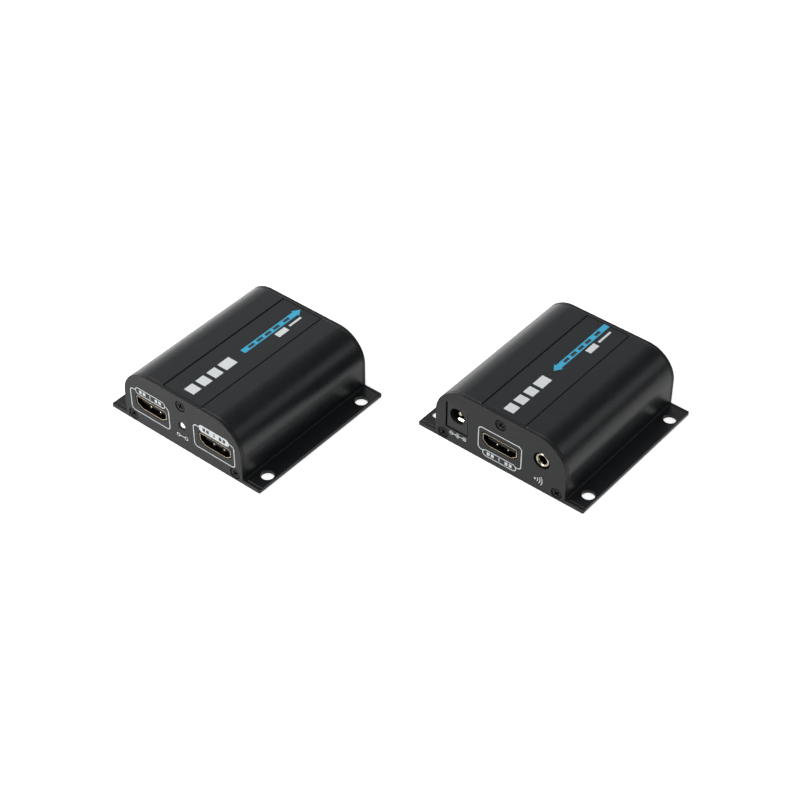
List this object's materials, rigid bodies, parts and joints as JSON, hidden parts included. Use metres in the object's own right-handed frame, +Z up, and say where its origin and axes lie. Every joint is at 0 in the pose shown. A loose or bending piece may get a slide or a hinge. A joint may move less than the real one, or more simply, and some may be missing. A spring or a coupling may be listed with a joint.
{
  "type": "hdmi extender",
  "caption": "Black flanged aluminium sender and receiver boxes that carry HDMI picture and sound over a network cable, with screwed end panels and sockets.",
  "frame": {"origin": "middle of the footprint of both boxes as they stand in the picture, on the surface they stand on", "axes": "+X from the sender to the receiver, along both front panels; -Y is where the front panels face; +Z up"},
  "size_m": [0.1638, 0.1286, 0.024],
  "materials": {
    "housing_coating": "fine matte black coating on extruded aluminium",
    "panel_coating": "satin black coating on sheet aluminium",
    "label_film": "matte printed polyester film",
    "screw_steel": "black oxide steel, satin",
    "board_laminate": "green solder mask on glass epoxy laminate",
    "shell_plating": "nickel plated sheet steel, slightly warm",
    "insert_plastic": "black moulded nylon",
    "contact_plating": "gold flashed copper alloy",
    "lamp_lens": "milky epoxy, glossy",
    "jack_plastic": "black moulded plastic, satin",
    "jack_metal": "bright nickel plating",
    "shield_tin": "tin plated sheet brass",
    "indicator_lens": "tinted clear plastic",
    "chip_resin": "black moulding resin",
    "sink_aluminium": "clear anodised extruded aluminium",
    "coil_ferrite": "dark sintered ferrite",
    "can_aluminium": "drawn aluminium can"
  },
  "bodies": {
    "sender": {"sender_housing": "housing_coating", "sender_front_panel": "panel_coating", "sender_rear_panel": "panel_coating", "sender_label_plate": "label_film", "sender_front_screws": "screw_steel", "sender_rear_screws": "screw_steel", "sender_circuit_board": "board_laminate", "sender_input_hdmi_shell": "shell_plating", "sender_input_hdmi_insert": "insert_plastic", "sender_input_hdmi_contacts": "contact_plating", "sender_loop_hdmi_shell": "shell_plating", "sender_loop_hdmi_insert": "insert_plastic", "sender_loop_hdmi_contacts": "contact_plating", "sender_link_lamp": "lamp_lens", "sender_lamp_holder": "insert_plastic", "sender_dc_jack_body": "jack_plastic", "sender_dc_jack_terminals": "jack_metal", "sender_ir_jack_body": "jack_plastic", "sender_ir_jack_terminals": "jack_metal", "sender_network_jack_body": "jack_plastic", "sender_network_jack_shield": "shield_tin", "sender_network_jack_lights": "indicator_lens", "sender_video_chip": "chip_resin", "sender_heat_sink": "sink_aluminium", "sender_small_chips": "chip_resin", "sender_network_transformer": "chip_resin", "sender_power_coil": "coil_ferrite", "sender_capacitors": "can_aluminium", "sender_clock_crystal": "shield_tin"},
    "receiver": {"receiver_housing": "housing_coating", "receiver_front_panel": "panel_coating", "receiver_rear_panel": "panel_coating", "receiver_label_plate": "label_film", "receiver_front_screws": "screw_steel", "receiver_rear_screws": "screw_steel", "receiver_circuit_board": "board_laminate", "receiver_hdmi_shell": "shell_plating", "receiver_hdmi_insert": "insert_plastic", "receiver_hdmi_contacts": "contact_plating", "receiver_dc_jack_body": "jack_plastic", "receiver_dc_jack_terminals": "jack_metal", "receiver_ir_jack_body": "jack_plastic", "receiver_ir_jack_terminals": "jack_metal", "receiver_network_jack_body": "jack_plastic", "receiver_network_jack_shield": "shield_tin", "receiver_network_jack_lights": "indicator_lens", "receiver_video_chip": "chip_resin", "receiver_heat_sink": "sink_aluminium", "receiver_small_chips": "chip_resin", "receiver_network_transformer": "chip_resin", "receiver_power_coil": "coil_ferrite", "receiver_capacitors": "can_aluminium", "receiver_clock_crystal": "shield_tin"},
    "sender_dc_leaf": {"sender_dc_jack_leaf": "jack_metal"},
    "sender_ir_spring": {"sender_ir_jack_spring": "contact_plating"},
    "sender_network_wires": {"sender_network_jack_wires": "contact_plating"},
    "receiver_dc_leaf": {"receiver_dc_jack_leaf": "jack_metal"},
    "receiver_ir_spring": {"receiver_ir_jack_spring": "contact_plating"},
    "receiver_network_wires": {"receiver_network_jack_wires": "contact_plating"}
  },
  "joints": [
    {"name": "receiver_place", "type": "slide", "parent": "sender", "child": "receiver", "axis": [1, 0, 0], "range_m": [0, 0.3]},
    {"name": "sender_dc_leaf_flex", "type": "hinge", "parent": "sender", "child": "sender_dc_leaf", "pos_m": [-0.0639, -0.00822, 0.0094], "axis": [-1, 0, 0], "range_deg": [0, 4], "stiffness_Nm_per_rad": 0.1},
    {"name": "sender_ir_spring_flex", "type": "hinge", "parent": "sender", "child": "sender_ir_spring", "pos_m": [-0.05273, -0.00355, 0.0141], "axis": [0, 0, -1], "range_deg": [0, 5], "stiffness_Nm_per_rad": 0.02},
    {"name": "sender_network_wires_flex", "type": "hinge", "parent": "sender", "child": "sender_network_wires", "pos_m": [-0.0331, 0.0002, 0.01675], "axis": [-1, 0, 0], "range_deg": [0, 9], "stiffness_Nm_per_rad": 0.03},
    {"name": "receiver_dc_leaf_flex", "type": "hinge", "parent": "receiver", "child": "receiver_dc_leaf", "pos_m": [0.02725, 0.00822, 0.0094], "axis": [1, 0, 0], "range_deg": [0, 4], "stiffness_Nm_per_rad": 0.1},
    {"name": "receiver_ir_spring_flex", "type": "hinge", "parent": "receiver", "child": "receiver_ir_spring", "pos_m": [0.0662, 0.00355, 0.0141], "axis": [0, 0, -1], "range_deg": [0, 5], "stiffness_Nm_per_rad": 0.02},
    {"name": "receiver_network_wires_flex", "type": "hinge", "parent": "receiver", "child": "receiver_network_wires", "pos_m": [0.0587, 0.0628, 0.01675], "axis": [-1, 0, 0], "range_deg": [0, 9], "stiffness_Nm_per_rad": 0.03}
  ]
}
